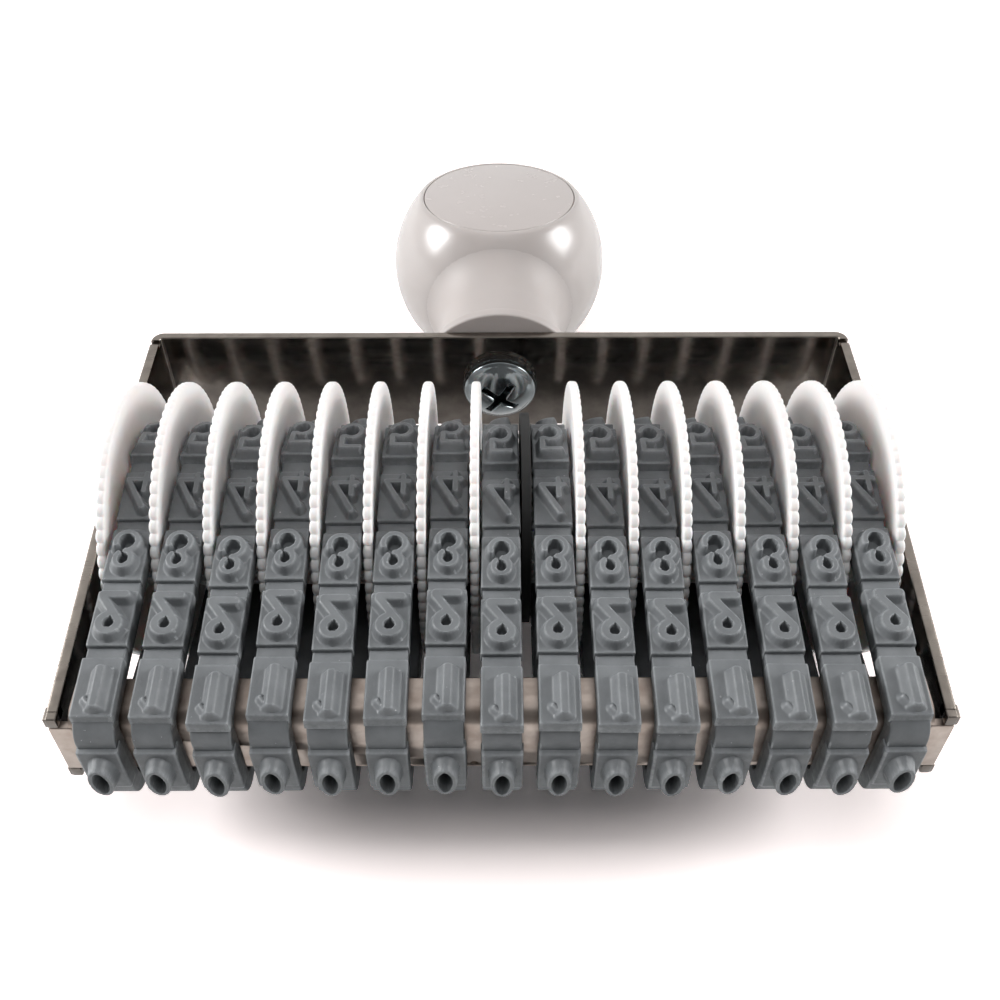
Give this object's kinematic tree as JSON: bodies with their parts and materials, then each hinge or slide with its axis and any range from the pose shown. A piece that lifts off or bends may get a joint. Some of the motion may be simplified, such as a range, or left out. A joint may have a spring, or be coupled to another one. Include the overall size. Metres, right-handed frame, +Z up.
{
  "type": "numbering stamp",
  "caption": "Hand numbering stamp: rubber digit bands run over toothed setting wheels and a print bridge in a bent sheet frame with a ball handle.",
  "frame": {"origin": "centre of the footprint, on the surface under the wheel rims", "axes": "+Z up, +X along the wheels' axle, +Y from the print face towards the handle"},
  "size_m": [0.0834, 0.0926, 0.0298],
  "materials": {
    "nickel_sheet": "bright nickel plated spring steel strip",
    "nickel_bridge": "satin nickel plated steel",
    "axle_steel": "bright drawn steel",
    "spacer_grey": "moulded dark grey disc",
    "handle_plastic": "polished warm white plastic",
    "insert_brass": "turned brass",
    "zinc_screw": "bright zinc",
    "badge_plastic": "bare glossy disc",
    "wheel_plastic": "white moulded plastic with a soft sheen",
    "band_rubber": "dark grey moulded rubber with raised digits"
  },
  "bodies": {
    "stamp": {"frame": "nickel_sheet", "print_bridge": "nickel_bridge", "axle": "axle_steel", "thrust_washers": "axle_steel", "centre_spacer": "spacer_grey", "handle": "handle_plastic", "handle_insert": "insert_brass", "handle_screw": "zinc_screw", "lock_washer": "zinc_screw", "badge_disc": "badge_plastic", "band_01": "band_rubber", "band_02": "band_rubber", "band_03": "band_rubber", "band_04": "band_rubber", "band_05": "band_rubber", "band_06": "band_rubber", "band_07": "band_rubber", "band_08": "band_rubber", "band_09": "band_rubber", "band_10": "band_rubber", "band_11": "band_rubber", "band_12": "band_rubber", "band_13": "band_rubber", "band_14": "band_rubber", "band_15": "band_rubber"},
    "wheel_01": {"wheel_01": "wheel_plastic"},
    "wheel_02": {"wheel_02": "wheel_plastic"},
    "wheel_03": {"wheel_03": "wheel_plastic"},
    "wheel_04": {"wheel_04": "wheel_plastic"},
    "wheel_05": {"wheel_05": "wheel_plastic"},
    "wheel_06": {"wheel_06": "wheel_plastic"},
    "wheel_07": {"wheel_07": "wheel_plastic"},
    "wheel_08": {"wheel_08": "wheel_plastic"},
    "wheel_09": {"wheel_09": "wheel_plastic"},
    "wheel_10": {"wheel_10": "wheel_plastic"},
    "wheel_11": {"wheel_11": "wheel_plastic"},
    "wheel_12": {"wheel_12": "wheel_plastic"},
    "wheel_13": {"wheel_13": "wheel_plastic"},
    "wheel_14": {"wheel_14": "wheel_plastic"},
    "wheel_15": {"wheel_15": "wheel_plastic"}
  },
  "joints": [
    {"name": "wheel_01_spin", "type": "hinge", "parent": "stamp", "child": "wheel_01", "pos_m": [-0.039, -0.01507, 0.0149], "axis": [1, 0, 0], "continuous": true},
    {"name": "wheel_02_spin", "type": "hinge", "parent": "stamp", "child": "wheel_02", "pos_m": [-0.0338, -0.01507, 0.0149], "axis": [1, 0, 0], "continuous": true},
    {"name": "wheel_03_spin", "type": "hinge", "parent": "stamp", "child": "wheel_03", "pos_m": [-0.0286, -0.01507, 0.0149], "axis": [1, 0, 0], "continuous": true},
    {"name": "wheel_04_spin", "type": "hinge", "parent": "stamp", "child": "wheel_04", "pos_m": [-0.0234, -0.01507, 0.0149], "axis": [1, 0, 0], "continuous": true},
    {"name": "wheel_05_spin", "type": "hinge", "parent": "stamp", "child": "wheel_05", "pos_m": [-0.0182, -0.01507, 0.0149], "axis": [1, 0, 0], "continuous": true},
    {"name": "wheel_06_spin", "type": "hinge", "parent": "stamp", "child": "wheel_06", "pos_m": [-0.013, -0.01507, 0.0149], "axis": [1, 0, 0], "continuous": true},
    {"name": "wheel_07_spin", "type": "hinge", "parent": "stamp", "child": "wheel_07", "pos_m": [-0.0078, -0.01507, 0.0149], "axis": [1, 0, 0], "continuous": true},
    {"name": "wheel_08_spin", "type": "hinge", "parent": "stamp", "child": "wheel_08", "pos_m": [-0.0026, -0.01507, 0.0149], "axis": [1, 0, 0], "continuous": true},
    {"name": "wheel_09_spin", "type": "hinge", "parent": "stamp", "child": "wheel_09", "pos_m": [0.0078, -0.01507, 0.0149], "axis": [1, 0, 0], "continuous": true},
    {"name": "wheel_10_spin", "type": "hinge", "parent": "stamp", "child": "wheel_10", "pos_m": [0.013, -0.01507, 0.0149], "axis": [1, 0, 0], "continuous": true},
    {"name": "wheel_11_spin", "type": "hinge", "parent": "stamp", "child": "wheel_11", "pos_m": [0.0182, -0.01507, 0.0149], "axis": [1, 0, 0], "continuous": true},
    {"name": "wheel_12_spin", "type": "hinge", "parent": "stamp", "child": "wheel_12", "pos_m": [0.0234, -0.01507, 0.0149], "axis": [1, 0, 0], "continuous": true},
    {"name": "wheel_13_spin", "type": "hinge", "parent": "stamp", "child": "wheel_13", "pos_m": [0.0286, -0.01507, 0.0149], "axis": [1, 0, 0], "continuous": true},
    {"name": "wheel_14_spin", "type": "hinge", "parent": "stamp", "child": "wheel_14", "pos_m": [0.0338, -0.01507, 0.0149], "axis": [1, 0, 0], "continuous": true},
    {"name": "wheel_15_spin", "type": "hinge", "parent": "stamp", "child": "wheel_15", "pos_m": [0.039, -0.01507, 0.0149], "axis": [1, 0, 0], "continuous": true}
  ]
}
